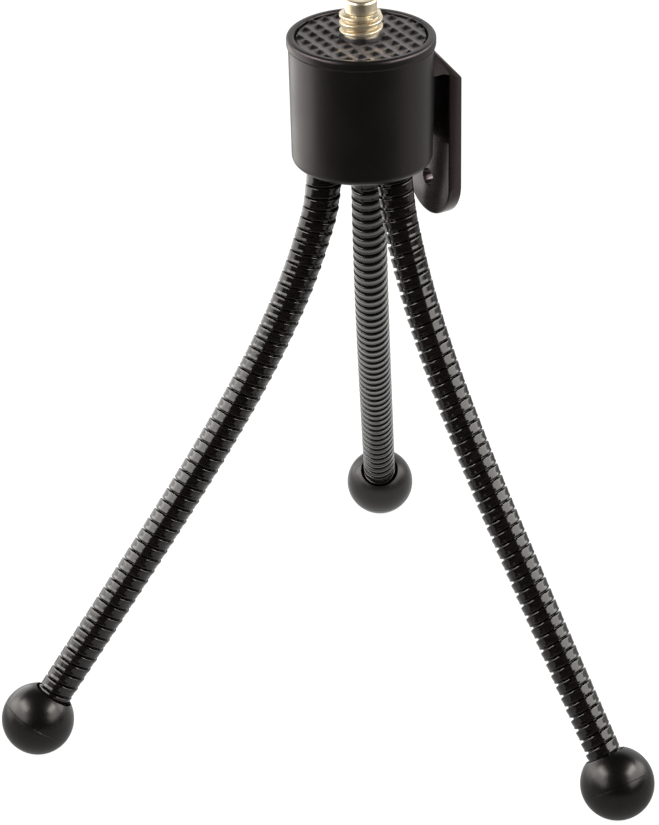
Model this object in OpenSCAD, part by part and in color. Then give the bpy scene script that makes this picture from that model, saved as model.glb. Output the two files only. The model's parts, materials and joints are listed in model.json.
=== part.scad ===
// Flexible leg tripod: a round camera head on three bendable legs of wound wire with ball feet.
// Millimetres, +Z up. The origin is on the head's axis, in the plane that the camera sits on.
// The legs stand as they are bent in use, and each is a root and a row of ribbed links on hinges.

/* [Camera stud] */
// Thread diameter of the camera stud, 1/4 inch
stud_d = 6.35; // [5:0.05:9.6]
// Height of the stud above the camera seat
stud_h = 5.6; // [5.5:0.1:9]
// Height of the thread's upper end above the camera seat
thread_h = 3.8; // [3:0.1:5]
// Thread pitch of the stud, 20 turns to the inch
thread_pitch = 1.27; // [1:0.01:1.6]
// Depth of the thread
thread_depth = 0.5; // [0.4:0.05:0.9]
// Diameter of the stud's plain tip
stud_tip_d = 4.7; // [3.8:0.1:4.8]
// Bevel of the plain tip's edge
tip_edge = 0.3; // [0.1:0.05:0.5]
// How far the stud's neck inside the head is set in
neck_relief = 0.3; // [0.1:0.05:0.6]
// Width across the flats of the hexagon flange under the deck
flange_af = 8.5; // [7.5:0.1:11]
// Thickness of the hexagon flange
flange_t = 2; // [1.2:0.1:2.6]

/* [Head] */
// Height of the head from the camera seat to its bottom
head_h = 20; // [17:0.5:30]
// Plastic outside the leg sockets at the head's bottom
head_wall = 1.85; // [0.8:0.05:3]
// Radius of the head's bottom edge
head_edge_r = 1.2; // [0.5:0.1:2]
// Height of the rim band
rim_h = 1.5; // [1.2:0.1:2.5]
// Width of the rim's top face
rim_w = 1.2; // [0.9:0.05:2]
// How far the rim band stands out of the head's side
rim_proud = 0.25; // [0.1:0.05:0.8]
// Radius of the rim's upper edge
rim_edge_r = 0.5; // [0.1:0.05:0.6]

/* [Pad and plates] */
// Thickness of the rubber pad with its pyramids
pad_t = 1.5; // [1:0.1:2.5]
// How far the pad stands out of the rim
pad_proud = 0.1; // [0:0.05:0.4]
// Gap between the pad and the rim
pad_gap = 0.3; // [0.05:0.05:0.4]
// Height of the pad's pyramids
pyramid_h = 0.65; // [0.3:0.05:0.8]
// Spacing of the pad's pyramids
pyramid_pitch = 2.2; // [1.5:0.1:3]
// Width of the ledge that carries the pad's edge
pad_ledge = 1; // [0.4:0.05:1.6]
// Thickness of the deck that holds the stud
deck_t = 3.5; // [3:0.1:6]
// Thickness of the plate that clamps the stud and the ferrules
clamp_t = 1.5; // [1:0.1:3]
// Diameter of the deck screws
screw_d = 2; // [1.6:0.1:2.5]
// Diameter of the deck screws' heads
screw_head_d = 3.8; // [3.4:0.1:5]
// Room round the deck screws in the plates
screw_clearance = 0.2; // [0.1:0.05:0.4]
// Length of the deck screws
screw_l = 7.4; // [6:0.1:9]
// Plastic between the flange's corners and the deck screws
screw_wall = 0.5; // [0.3:0.05:1]
// Plastic outside the screw heads and the screw holes
plate_edge = 0.4; // [0.3:0.05:1]

/* [Side plate] */
// Direction of the side plate, seen from above
clip_dir = 10; // [-15:1:15]
// Width of the side plate
clip_w = 11.5; // [8:0.5:16]
// Thickness of the side plate
clip_t = 2.3; // [1.4:0.1:3]
// Depth of the side plate's shoulder below the camera seat
clip_top = 8.1; // [7:0.1:10]
// Rise of the side plate's root from the shoulder to the head, from level
root_slope = 48; // [40:1:52]
// Depth of the slot's closed end below the camera seat
slot_top = 7; // [6.5:0.1:9]
// Length of the side plate below the head's bottom
clip_drop = 11.4; // [9:0.1:16]
// Gap between the head's side and the side plate
clip_gap = 0.9; // [0.6:0.1:3]
// Diameter of the lanyard hole
lanyard_d = 2.8; // [2:0.1:5]
// Width of the tongue that holds the side plate in the head
tongue_w = 5; // [3:0.1:6]
// Height of the tongue
tongue_h = 2; // [1:0.1:2.4]
// Depth of the tongue in the head
tongue_depth = 0.9; // [0.5:0.1:1.1]

/* [Legs] */
// Outer diameter of a leg
leg_d = 5.3; // [4.8:0.1:6.6]
// Length of a leg from the head to its ball, along its curve
leg_length = 93.6; // [75:0.1:120]
// Length of a leg between the head and its first hinge
root_length = 5.2; // [4:0.1:9]
// Length of one turn of the winding
rib_pitch = 1.84; // [1.5:0.01:2.4]
// Depth of the groove between two turns
rib_depth = 0.45; // [0.25:0.05:0.55]
// Bore inside a leg
leg_bore_d = 2; // [1:0.1:2.6]
// Lean of a leg where it leaves the head, from upright
tilt_top = 7; // [2:0.5:12]
// Lean of a leg at its foot, from upright
tilt_foot = 36.5; // [20:0.5:50]
// How early a leg's curve comes along its length
bend_power = 3.7; // [1:0.1:5]
// Direction of the rear leg, seen from above
rear_leg_dir = 66; // [50:0.5:75]
// Direction of the left leg, seen from above
left_leg_dir = 180; // [165:0.5:195]
// Direction of the right leg, seen from above
right_leg_dir = 289.5; // [280:0.5:315]

/* [Hinges] */
// Furthest turn of one hinge, each way
bend_range = 16; // [8:1:18]
// Room past the furthest turn
bend_play = 1; // [0.5:0.5:2]
// Diameter of the round end that a link turns on
dome_d = 3; // [2.7:0.1:3.4]
// Gap between a round end and its cup
joint_gap = 0.12; // [0.08:0.01:0.2]

/* [Leg sockets] */
// How far a leg's end is pressed in to take its ferrule
shank_relief = 0.1; // [0:0.05:0.3]
// Wall of the ferrule on a leg's upper end
ferrule_wall = 0.5; // [0.25:0.05:0.8]
// Plastic between the ferrules at their tops
ferrule_web = 0.85; // [0.6:0.05:1.5]
// Depth of the socket below a ferrule
socket_grip = 4; // [2:0.5:6]
// Gap round a leg in its socket
socket_gap = 0.1; // [0.05:0.05:0.3]
// Gap between pieces that fit together
fit_gap = 0.05; // [0.03:0.01:0.1]
// Room between the ferrules and the clamp plate
clamp_gap = 0.2; // [0.1:0.05:0.5]

/* [Ball feet] */
// Diameter of a ball foot
ball_d = 11.1; // [10:0.1:15]
// Gap round the leg in the ball's mouth
mouth_gap = 0.4; // [0.2:0.05:0.8]
// Width of the flat lip round the mouth
lip_w = 0.1; // [0.1:0.05:0.5]
// Depth of the ball's mouth
mouth_depth = 2; // [1.9:0.1:2.4]
// Length of leg that the ball grips below its mouth
grip_depth = 3; // [2:0.1:4]

/* [Hidden] */
$fn = 64;
CUT = 0.01;
LEG_NAMES = ["rear", "left", "right"];
SOCKET_DIR = [60, 180, 300];
LEG_DIR = [rear_leg_dir, left_leg_dir, right_leg_dir];
LEG_COUNT = len(LEG_NAMES);
LEG_LINKS = 12;
SCREW_DIR = [0, 120, 240];
// Direction of each set of the pad's rows, and its shift as a share of their spacing
PAD_ROWS = [[6, -0.1], [96, -0.34]];
ARC_STEPS = 6;
// One turn of the winding from its upper groove: share of the pitch, share of the groove's depth
RIB_FORM = [[0.02, 1], [0.12, 0.3], [0.28, 0], [0.58, 0.06], [0.82, 0.42], [0.96, 1]];

function has(name) = node == "all" || node == name;
function arc(x, z, r, from, to) =
    [for (i = [0:ARC_STEPS]) let (a = from + (to - from) * i / ARC_STEPS) [x + r * cos(a), z + r * sin(a)]];

// Levels below the camera seat
rim_top = -pad_proud;
rim_end = rim_top - rim_h;
deck_z = -pad_t;
clamp_z = deck_z - deck_t;
floor_z = clamp_z - clamp_t;

// Plates and screws, from the stud outward
stud_r = stud_d / 2;
neck_r = stud_r - neck_relief;
flange_r = flange_af / sqrt(3);
stud_hole_r = stud_r + pad_gap;
screw_r = screw_d / 2;
screw_head_r = screw_head_d / 2;
screw_hole_r = screw_r + screw_clearance;
screw_circle_r = flange_r + screw_wall + screw_r;
clamp_r = screw_circle_r + screw_hole_r + plate_edge;
deck_r = screw_circle_r + screw_head_r + plate_edge;
pad_recess_r = deck_r + fit_gap + pad_ledge;
pad_r = pad_recess_r - pad_gap;
rim_r = pad_recess_r + rim_w;
head_top_r = rim_r - rim_proud;
rim_low_r = min(rim_edge_r, rim_proud - CUT);

// Leg sockets, from the ferrules outward
leg_r = leg_d / 2;
bore_r = leg_bore_d / 2;
shank_r = leg_r - shank_relief;
ferrule_r = leg_r + ferrule_wall;
socket_r = leg_r + socket_gap;
leg_circle_r = (2 * (ferrule_r + fit_gap) + ferrule_web) / sqrt(3) + (head_h + floor_z) * tan(tilt_top);
head_bottom_r = leg_circle_r + socket_r + head_wall;
ferrule_top = (head_h + floor_z - clamp_gap - ferrule_r * sin(tilt_top)) / cos(tilt_top);
shank_top = ferrule_top - ferrule_wall;

// Side plate
clip_x = max(head_top_r, head_bottom_r) + clip_gap;
clip_end_z = -head_h - clip_drop + clip_w / 2;
clip_root_x = sqrt(pow(head_bottom_r, 2) - pow(clip_w / 2, 2));
clip_rise = (clip_x + clip_t - clip_root_x) * tan(root_slope);
tongue_x = head_top_r - tongue_depth;

// Balls
ball_r = ball_d / 2;
mouth_r = leg_r + mouth_gap;
ball_lip = sqrt(pow(ball_r, 2) - pow(mouth_r + lip_w, 2));

// Leg curve, in links
dome_r = dome_d / 2;
cup_r = dome_r + joint_gap;
link_len = (leg_length - root_length) / LEG_LINKS;
axis_len = leg_length + ball_lip;

function lean(share) = tilt_top + (tilt_foot - tilt_top) * (1 - pow(1 - share, bend_power));
// Length of leg above hinge k
function link_start(k) = root_length + k * link_len;
function link_tilt(k) = k < 0 ? tilt_top : lean(link_start(k + 0.5) / axis_len);
function link_reach(k) = k == 0 ? 0 : link_reach(k - 1) + link_len * sin(link_tilt(k - 1));
function link_drop(k) = k == 0 ? 0 : link_drop(k - 1) + link_len * cos(link_tilt(k - 1));
// Slope of the end faces at hinge k, so that two links clear each other at the furthest turn
function hinge_slope(k) = tan((link_tilt(k) - link_tilt(k - 1) + bend_range) / 2 + bend_play);
// Turns on a stretch of leg whose top, at z = 0, is start below the head, clear of its sloping end faces
function turns(start, length, top_slope, end_slope) =
    [for (i = [floor(start / rib_pitch):ceil((start + length) / rib_pitch)]) for (p = RIB_FORM)
        let (z = (i + p[0]) * rib_pitch - start, r = leg_r - p[1] * rib_depth)
        if (z > leg_r * top_slope + CUT && z < length - leg_r * end_slope - CUT) [r, -z]];

NODES = concat(
    ["head_shell", "top_pad", "deck_plate", "deck_screws", "camera_stud", "clamp_plate", "pocket_clip"],
    [for (name = LEG_NAMES) for (piece = ["leg_ferrule", "leg_root", "ball_foot"]) str(name, "_", piece)],
    [for (name = LEG_NAMES) for (k = [1:LEG_LINKS]) str(name, "_leg_link_", k)]
);
node = "all";

// Places what is drawn on a leg's axis at the head's bottom, with -Z down the leg
module at_socket(leg) {
    rotate([0, 0, SOCKET_DIR[leg]])
        translate([leg_circle_r, 0, -head_h])
            rotate([0, -tilt_top, 0])
                children();
}

// Places what is drawn at hinge k of a leg, with -Z down the link below it
module at_link(leg, k) {
    hinge_x = leg_circle_r + root_length * sin(tilt_top);
    hinge_z = -head_h - root_length * cos(tilt_top);
    translate([hinge_x * cos(SOCKET_DIR[leg]), hinge_x * sin(SOCKET_DIR[leg]), hinge_z])
        rotate([0, 0, LEG_DIR[leg]])
            translate([link_reach(k), 0, -link_drop(k)])
                rotate([0, -link_tilt(k), 0])
                    children();
}

module at_screws() {
    for (a = SCREW_DIR)
        rotate([0, 0, a])
            translate([screw_circle_r, 0, 0])
                children();
}

module head_body() {
    rotate_extrude()
        polygon(concat(
            [[0, rim_top]],
            arc(rim_r - rim_edge_r, rim_top - rim_edge_r, rim_edge_r, 90, 0),
            arc(rim_r - rim_low_r, rim_end + rim_low_r, rim_low_r, 0, -90),
            [[head_top_r, rim_end]],
            arc(head_bottom_r - head_edge_r, head_edge_r - head_h, head_edge_r, 0, -90),
            [[0, -head_h]]
        ));
}

module head_shell() {
    color("#1b1b1c")
        difference() {
            head_body();
            translate([0, 0, deck_z])
                cylinder(r = pad_recess_r, h = pad_t + CUT);
            translate([0, 0, clamp_z])
                cylinder(r = deck_r + fit_gap, h = deck_t + CUT);
            translate([0, 0, floor_z])
                cylinder(r = clamp_r + fit_gap, h = clamp_t + CUT);
            for (leg = [0:LEG_COUNT - 1])
                at_socket(leg) {
                    translate([0, 0, -socket_grip])
                        cylinder(r = socket_r, h = 2 * socket_grip + CUT);
                    translate([0, 0, socket_grip])
                        cylinder(r = ferrule_r + fit_gap, h = head_h - socket_grip);
                }
            at_screws()
                translate([0, 0, deck_z - screw_l - 2 * fit_gap])
                    cylinder(r = screw_r + fit_gap, h = screw_l);
            rotate([0, 0, clip_dir])
                translate([tongue_x - fit_gap, -tongue_w / 2 - fit_gap, -slot_top - fit_gap])
                    cube([clip_x, tongue_w + 2 * fit_gap, tongue_h + 2 * fit_gap]);
        }
}

// V grooves in two directions leave rows of pyramids
module top_pad() {
    rows = ceil(pad_r / pyramid_pitch);
    color("#151515")
        difference() {
            translate([0, 0, deck_z])
                cylinder(r = pad_r, h = pad_t);
            translate([0, 0, deck_z - CUT])
                cylinder(r = stud_hole_r, h = pad_t + 2 * CUT);
            for (set = PAD_ROWS)
                for (i = [-rows:rows])
                    rotate([0, 0, set[0]])
                        translate([-rim_r, (i + 0.5 + set[1]) * pyramid_pitch, 0])
                            rotate([90, 0, 90])
                                linear_extrude(2 * rim_r)
                                    polygon([
                                        [-pyramid_pitch / 2, 0],
                                        [0, -pyramid_h],
                                        [pyramid_pitch / 2, 0],
                                        [0, pyramid_h]
                                    ]);
        }
}

module deck_plate() {
    color("#2a2a2b")
        difference() {
            translate([0, 0, clamp_z])
                cylinder(r = deck_r, h = deck_t);
            translate([0, 0, clamp_z - CUT])
                cylinder(r = neck_r + fit_gap, h = deck_t + 2 * CUT);
            translate([0, 0, clamp_z - CUT])
                cylinder(r = flange_r + fit_gap, h = flange_t + fit_gap + CUT, $fn = 6);
            at_screws() {
                translate([0, 0, clamp_z - CUT])
                    cylinder(r = screw_hole_r, h = deck_t + 2 * CUT);
                translate([0, 0, deck_z - screw_head_r + screw_r - fit_gap])
                    cylinder(r1 = screw_r, r2 = screw_head_r + fit_gap, h = screw_head_r - screw_r + fit_gap);
                translate([0, 0, deck_z - CUT])
                    cylinder(r = screw_head_r + fit_gap, h = 2 * CUT);
            }
        }
}

// Three countersunk screws with a slot, flush with the deck
module deck_screws() {
    head_t = screw_head_r - screw_r;
    slot_w = screw_d / 5;
    color("silver")
        at_screws()
            translate([0, 0, deck_z])
                difference() {
                    rotate_extrude()
                        polygon([
                            [0, 0],
                            [screw_head_r, 0],
                            [screw_r, -head_t],
                            [screw_r, -screw_l + screw_r],
                            [screw_r / 2, -screw_l],
                            [0, -screw_l]
                        ]);
                    translate([-screw_head_r, -slot_w / 2, -head_t / 2])
                        cube([screw_head_d, slot_w, head_t]);
                }
}

// The thread is drawn as rings: crests of the full diameter from the camera seat up to the plain tip
module camera_stud() {
    crest = thread_pitch / 5;
    flank = 2 * thread_pitch / 5;
    tip_r = stud_tip_d / 2;
    tip_taper = stud_r - tip_r;
    rings = floor((thread_h - tip_taper - crest) / thread_pitch);
    color("#c8b078")
        union() {
            translate([0, 0, clamp_z])
                cylinder(r = flange_r, h = flange_t, $fn = 6);
            rotate_extrude()
                polygon(concat(
                    [[0, clamp_z], [neck_r, clamp_z], [neck_r, 0]],
                    [for (i = [0:rings]) for (p = [[0, 0], [crest, 0], [crest + flank, thread_depth]])
                        if (i < rings || p[1] == 0) [stud_r - p[1], i * thread_pitch + p[0]]],
                    [[stud_r, thread_h - tip_taper], [tip_r, thread_h]],
                    [[tip_r, stud_h - tip_edge], [tip_r - tip_edge, stud_h], [0, stud_h]]
                ));
        }
}

module clamp_plate() {
    color("silver")
        difference() {
            translate([0, 0, floor_z])
                cylinder(r = clamp_r, h = clamp_t);
            at_screws()
                translate([0, 0, floor_z - CUT])
                    cylinder(r = screw_hole_r, h = clamp_t + 2 * CUT);
        }
}

// The room that the head takes up beside the side plate's root
module head_room() {
    rotate_extrude()
        polygon([
            [0, stud_h],
            [rim_r + fit_gap, stud_h],
            [rim_r + fit_gap, rim_end - fit_gap],
            [head_top_r + fit_gap, rim_end - fit_gap],
            [head_bottom_r + fit_gap, head_edge_r - head_h],
            [0, head_edge_r - head_h]
        ]);
}

// The side plate's outline from the side: a sloping root at the head and a straight plate below it
module clip_side() {
    translate([0, clip_w / 2, 0])
        rotate([90, 0, 0])
            linear_extrude(clip_w)
                polygon([
                    [clip_x, clip_end_z],
                    [clip_x + clip_t, clip_end_z],
                    [clip_x + clip_t, -clip_top],
                    [clip_root_x, clip_rise - clip_top],
                    [clip_root_x, -slot_top],
                    [clip_x, -slot_top]
                ]);
}

// Plate with a rounded end and a lanyard hole, held by a tongue in a slot in the head's side
module pocket_clip() {
    color("#202021")
        rotate([0, 0, clip_dir])
            difference() {
                union() {
                    difference() {
                        clip_side();
                        head_room();
                    }
                    translate([clip_x, 0, clip_end_z])
                        rotate([0, 90, 0])
                            cylinder(d = clip_w, h = clip_t);
                    translate([tongue_x, -tongue_w / 2, -slot_top])
                        cube([tongue_depth, tongue_w, tongue_h]);
                }
                translate([clip_x - CUT, 0, clip_end_z])
                    rotate([0, 90, 0])
                        cylinder(d = lanyard_d, h = clip_t + 2 * CUT);
            }
}

// Closed sleeve on the leg's end, seated on the shoulder of its socket
module leg_ferrule(leg) {
    color("silver")
        at_socket(leg)
            rotate_extrude()
                polygon([
                    [0, ferrule_top],
                    [ferrule_r, ferrule_top],
                    [ferrule_r, socket_grip],
                    [shank_r + fit_gap, socket_grip],
                    [shank_r + fit_gap, shank_top],
                    [0, shank_top]
                ]);
}

// The fixed upper end of a leg: a shank in the ferrule and the first turns below the head
module leg_root(leg) {
    slope = hinge_slope(0);
    color("#4a4646")
        difference() {
            at_socket(leg)
                rotate_extrude()
                    polygon(concat(
                        [[bore_r, shank_top], [shank_r, shank_top], [shank_r, 0]],
                        turns(0, root_length, 0, slope),
                        [[leg_r, leg_r * slope - root_length], [bore_r, bore_r * slope - root_length]]
                    ));
            at_link(leg, 0)
                sphere(r = cup_r);
        }
}

// A stretch of the winding: a round upper end in the cup of the link above, and a cup below
module leg_link(leg, k) {
    last = k == LEG_LINKS - 1;
    top = hinge_slope(k);
    end = last ? 0 : hinge_slope(k + 1);
    wound_len = last ? link_len + mouth_depth : link_len;
    shank_end = -wound_len - grip_depth;
    below = last
        ? [[leg_r, -wound_len], [leg_r, shank_end], [bore_r, shank_end]]
        : [[leg_r, leg_r * end - link_len], [bore_r, bore_r * end - link_len]];
    color("#4a4646")
        difference() {
            at_link(leg, k)
                union() {
                    rotate_extrude()
                        polygon(concat(
                            [[bore_r, -bore_r * top], [leg_r, -leg_r * top]],
                            turns(link_start(k), wound_len, top, end),
                            below
                        ));
                    difference() {
                        sphere(r = dome_r);
                        translate([0, 0, -dome_r])
                            cylinder(r = bore_r, h = dome_d);
                    }
                }
            if (!last)
                at_link(leg, k + 1)
                    sphere(r = cup_r);
        }
}

// Ball with a flat lip, an open mouth round the leg and a bore that grips its end
module ball_foot(leg) {
    color("#1a1a1a")
        at_link(leg, LEG_LINKS - 1)
            translate([0, 0, -link_len])
                difference() {
                    translate([0, 0, -ball_lip])
                        sphere(r = ball_r);
                    translate([-ball_r, -ball_r, 0])
                        cube([ball_d, ball_d, ball_d]);
                    translate([0, 0, -mouth_depth])
                        cylinder(r = mouth_r, h = mouth_depth + CUT);
                    translate([0, 0, -mouth_depth - grip_depth])
                        cylinder(r = leg_r + fit_gap, h = mouth_depth + grip_depth);
                }
}

if (has("head_shell")) head_shell();
if (has("top_pad")) top_pad();
if (has("deck_plate")) deck_plate();
if (has("deck_screws")) deck_screws();
if (has("camera_stud")) camera_stud();
if (has("clamp_plate")) clamp_plate();
if (has("pocket_clip")) pocket_clip();
for (leg = [0:LEG_COUNT - 1]) {
    if (has(str(LEG_NAMES[leg], "_leg_ferrule"))) leg_ferrule(leg);
    if (has(str(LEG_NAMES[leg], "_leg_root"))) leg_root(leg);
    if (has(str(LEG_NAMES[leg], "_ball_foot"))) ball_foot(leg);
    for (k = [1:LEG_LINKS])
        if (has(str(LEG_NAMES[leg], "_leg_link_", k))) leg_link(leg, k - 1);
}
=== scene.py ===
"""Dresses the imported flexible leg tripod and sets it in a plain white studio.

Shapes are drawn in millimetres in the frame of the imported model, with the camera seat at z = 0, and
turned into metres when a piece is finished. What moves with a joint is placed from the joints and boxes
of the frame.
"""

from __future__ import annotations

import json
import logging
import math
from collections.abc import Callable, Sequence
from dataclasses import dataclass
from enum import Enum
from typing import Any

import bmesh
import bpy
import numpy as np
from mathutils import Matrix, Vector


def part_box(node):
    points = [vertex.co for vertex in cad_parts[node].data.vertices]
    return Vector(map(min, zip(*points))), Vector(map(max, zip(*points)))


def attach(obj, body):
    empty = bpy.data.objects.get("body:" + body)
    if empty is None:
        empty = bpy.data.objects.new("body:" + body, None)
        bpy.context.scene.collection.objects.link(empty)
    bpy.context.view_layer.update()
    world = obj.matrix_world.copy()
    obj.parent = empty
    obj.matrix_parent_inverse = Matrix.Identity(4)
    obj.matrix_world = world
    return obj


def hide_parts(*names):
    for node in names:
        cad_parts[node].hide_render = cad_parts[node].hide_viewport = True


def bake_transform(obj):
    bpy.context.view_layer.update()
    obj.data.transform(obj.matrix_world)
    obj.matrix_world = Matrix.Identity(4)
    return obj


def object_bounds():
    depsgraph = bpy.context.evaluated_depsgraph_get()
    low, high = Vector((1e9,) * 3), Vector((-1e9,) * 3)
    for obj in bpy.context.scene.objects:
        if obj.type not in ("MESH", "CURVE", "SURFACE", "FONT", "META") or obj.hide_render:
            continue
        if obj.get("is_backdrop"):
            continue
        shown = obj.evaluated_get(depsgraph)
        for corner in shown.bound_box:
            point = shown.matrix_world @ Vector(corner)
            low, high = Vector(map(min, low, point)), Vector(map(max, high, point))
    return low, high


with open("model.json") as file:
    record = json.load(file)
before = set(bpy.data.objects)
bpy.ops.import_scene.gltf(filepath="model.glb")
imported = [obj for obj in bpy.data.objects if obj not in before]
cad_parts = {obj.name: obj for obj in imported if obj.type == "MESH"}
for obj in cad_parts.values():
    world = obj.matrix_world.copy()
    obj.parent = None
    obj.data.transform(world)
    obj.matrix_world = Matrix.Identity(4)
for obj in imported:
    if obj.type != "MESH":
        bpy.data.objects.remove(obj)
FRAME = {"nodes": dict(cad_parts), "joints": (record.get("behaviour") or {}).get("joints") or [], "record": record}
LOG = logging.getLogger("tripod")
MM = 0.001
IMAGE_W = 659
IMAGE_H = 825
SENSOR_MM = 36.0
FULL_TURN = 2 * math.pi
# A smaller radius, in millimetres, is on the axis
LEAST_R = 1e-6
# Faces that meet at a smaller angle are one flat face
FLAT_DEG = 0.5
# How far a cutting shape reaches past what it cuts, in millimetres
PAST = 1.0

Point2 = tuple[float, float]
Span = tuple[float, float]
Outline = list[Point2]
Inputs = dict[str | int, Any]


class LegName(Enum):
    """The three legs, by where they stand in the picture."""

    REAR = "rear"
    LEFT = "left"
    RIGHT = "right"


class Carve(Enum):
    """What one shape does to another."""

    CUT = "DIFFERENCE"
    KEEP = "INTERSECT"
    ADD = "UNION"


class Slot(Enum):
    """Material slots of the record."""

    HEAD = "head_plastic"
    CLIP = "clip_plastic"
    PAD = "pad_rubber"
    STUD = "stud_brass"
    WIRE = "leg_wire"
    BALL = "ball_plastic"


# Shader helpers


def linear(code: str) -> tuple[float, float, float, float]:
    """Turns an sRGB hex colour into linear light.

    Args:
        code: Colour as #rrggbb.

    Returns:
        Linear red, green and blue, with an alpha of one.
    """
    shares = [int(code[i : i + 2], 16) / 255 for i in (1, 3, 5)]
    red, green, blue = (c / 12.92 if c <= 0.04045 else ((c + 0.055) / 1.055) ** 2.4 for c in shares)
    return red, green, blue, 1.0


def per_metre(size_mm: float) -> float:
    """Gives the texture scale at which one feature has a size in millimetres."""
    return 1 / (size_mm * MM)


def add_node(
    tree: bpy.types.NodeTree, kind: str, inputs: Inputs | None = None, **settings: Any
) -> bpy.types.Node:
    """Adds a node with its settings, values and links.

    Args:
        tree: Tree that takes the node.
        kind: Blender's name for the node, without its ShaderNode prefix.
        inputs: Values, or output sockets to link, by input name or number.
        settings: Properties of the node.

    Returns:
        The new node.
    """
    node = tree.nodes.new("ShaderNode" + kind)
    for name, value in settings.items():
        setattr(node, name, value)
    for key, value in (inputs or {}).items():
        if isinstance(value, bpy.types.NodeSocket):
            tree.links.new(value, node.inputs[key])
        else:
            node.inputs[key].default_value = value
    return node


def empty_material(name: str) -> tuple[bpy.types.Material, bpy.types.NodeTree]:
    """Makes a material with no nodes in it.

    Args:
        name: Name of the material.

    Returns:
        The material and its node tree.
    """
    material = bpy.data.materials.new(name)
    material.use_nodes = True
    material.node_tree.nodes.clear()
    return material, material.node_tree


@dataclass(frozen=True)
class Finish:
    """A surface finish that makes its own material."""

    name: str

    def material(self) -> bpy.types.Material:
        """Makes the material.

        Returns:
            The finished material.
        """
        material, tree = empty_material(self.name)
        shader = add_node(tree, "BsdfPrincipled", self.surface(tree))
        add_node(tree, "OutputMaterial", {"Surface": shader.outputs[0]})
        return material

    def surface(self, tree: bpy.types.NodeTree) -> Inputs:
        """Adds the patterns of the surface.

        Args:
            tree: Tree that takes the nodes.

        Returns:
            Values and sockets for the shader, by input name.
        """
        raise NotImplementedError


@dataclass(frozen=True)
class MouldedPlastic(Finish):
    """ABS out of a lightly eroded mould: a gloss broken by a fine grain, paler where edges are rubbed."""

    colour: str = "#121111"
    rubbed: str = "#232121"
    rubbed_edges: Span = (0.52, 0.62)
    roughness: float = 0.32
    roughness_spread: float = 0.08
    grain_mm: float = 0.22
    grain_detail: float = 3.0
    grain_depth_mm: float = 0.004
    cloud_mm: float = 6.0
    cloud_detail: float = 4.0
    cloud_range: Span = (0.3, 0.7)
    ior: float = 1.42
    sheen: str = "#ffeced"

    def surface(self, tree: bpy.types.NodeTree) -> Inputs:
        """Adds the grain, the clouds in the gloss and the rubbed edges.

        Args:
            tree: Tree that takes the nodes.

        Returns:
            Values and sockets for the shader, by input name.
        """
        place = add_node(tree, "TexCoord").outputs["Object"]
        grain, cloud = (
            add_node(tree, "TexNoise", {"Vector": place, "Scale": per_metre(size), "Detail": detail})
            for size, detail in ((self.grain_mm, self.grain_detail), (self.cloud_mm, self.cloud_detail))
        )
        edges = add_node(tree, "NewGeometry").outputs["Pointiness"]
        start, stop = self.rubbed_edges
        rubbing = add_node(tree, "MapRange", {"Value": edges, "From Min": start, "From Max": stop})
        patches = {0: rubbing.outputs["Result"], 1: cloud.outputs["Fac"]}
        patchy = add_node(tree, "Math", patches, operation="MULTIPLY")
        ends = {0: patchy.outputs[0], 6: linear(self.colour), 7: linear(self.rubbed)}
        gloss = {
            "Value": cloud.outputs["Fac"],
            "From Min": self.cloud_range[0],
            "From Max": self.cloud_range[1],
            "To Min": self.roughness - self.roughness_spread / 2,
            "To Max": self.roughness + self.roughness_spread / 2,
        }
        bump = {"Height": grain.outputs["Fac"], "Strength": 1.0, "Distance": self.grain_depth_mm * MM}
        return {
            "Base Color": add_node(tree, "Mix", ends, data_type="RGBA").outputs[2],
            "Roughness": add_node(tree, "MapRange", gloss).outputs["Result"],
            "IOR": self.ior,
            "Specular Tint": linear(self.sheen),
            "Normal": add_node(tree, "Bump", bump).outputs["Normal"],
        }


@dataclass(frozen=True)
class MouldedRubber(Finish):
    """Rubber from a mould: pyramid tips rubbed a little paler by camera bases, and valleys paler with dust and
    painted light.
    """

    colour: str = "#0e0d0d"
    rubbed: str = "#1f1c1d"
    # Colour of the valley floors: dust, and painted light that makes the lit floors bright
    dust: str = "#565152"
    ior: float = 1.53
    roughness: float = 0.36
    dust_mm: float = 0.6
    dust_detail: float = 5.0
    grain_mm: float = 0.15
    grain_detail: float = 2.0
    grain_depth_mm: float = 0.006
    worn_mm: Span = (-0.22, -0.02)
    # Heights below the tips over which the valleys take the colour of dust and painted light
    dusty_and_lit_mm: Span = (-0.42, -0.55)

    def surface(self, tree: bpy.types.NodeTree) -> Inputs:
        """Adds the grain, the rubbed tips and the valleys, paler with dust and painted light.

        Args:
            tree: Tree that takes the nodes.

        Returns:
            Values and sockets for the shader, by input name.
        """
        place = add_node(tree, "TexCoord").outputs["Object"]
        level = add_node(tree, "SeparateXYZ", {0: place}).outputs["Z"]
        dust, grain = (
            add_node(tree, "TexNoise", {"Vector": place, "Scale": per_metre(size), "Detail": detail})
            for size, detail in ((self.dust_mm, self.dust_detail), (self.grain_mm, self.grain_detail))
        )
        tips, valleys = (
            add_node(tree, "MapRange", {"Value": level, "From Min": start * MM, "From Max": stop * MM})
            for start, stop in (self.worn_mm, self.dusty_and_lit_mm)
        )
        patches = {0: tips.outputs["Result"], 1: dust.outputs["Fac"]}
        worn = add_node(tree, "Math", patches, operation="MULTIPLY")
        ends = {0: worn.outputs[0], 6: linear(self.colour), 7: linear(self.rubbed)}
        clean = add_node(tree, "Mix", ends, data_type="RGBA")
        # Dust and painted light: the valleys take the pale valley colour
        dusted_and_lit = {0: valleys.outputs["Result"], 6: clean.outputs[2], 7: linear(self.dust)}
        bump = {"Height": grain.outputs["Fac"], "Strength": 1.0, "Distance": self.grain_depth_mm * MM}
        return {
            "Base Color": add_node(tree, "Mix", dusted_and_lit, data_type="RGBA").outputs[2],
            "IOR": self.ior,
            "Roughness": self.roughness,
            "Normal": add_node(tree, "Bump", bump).outputs["Normal"],
        }


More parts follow.
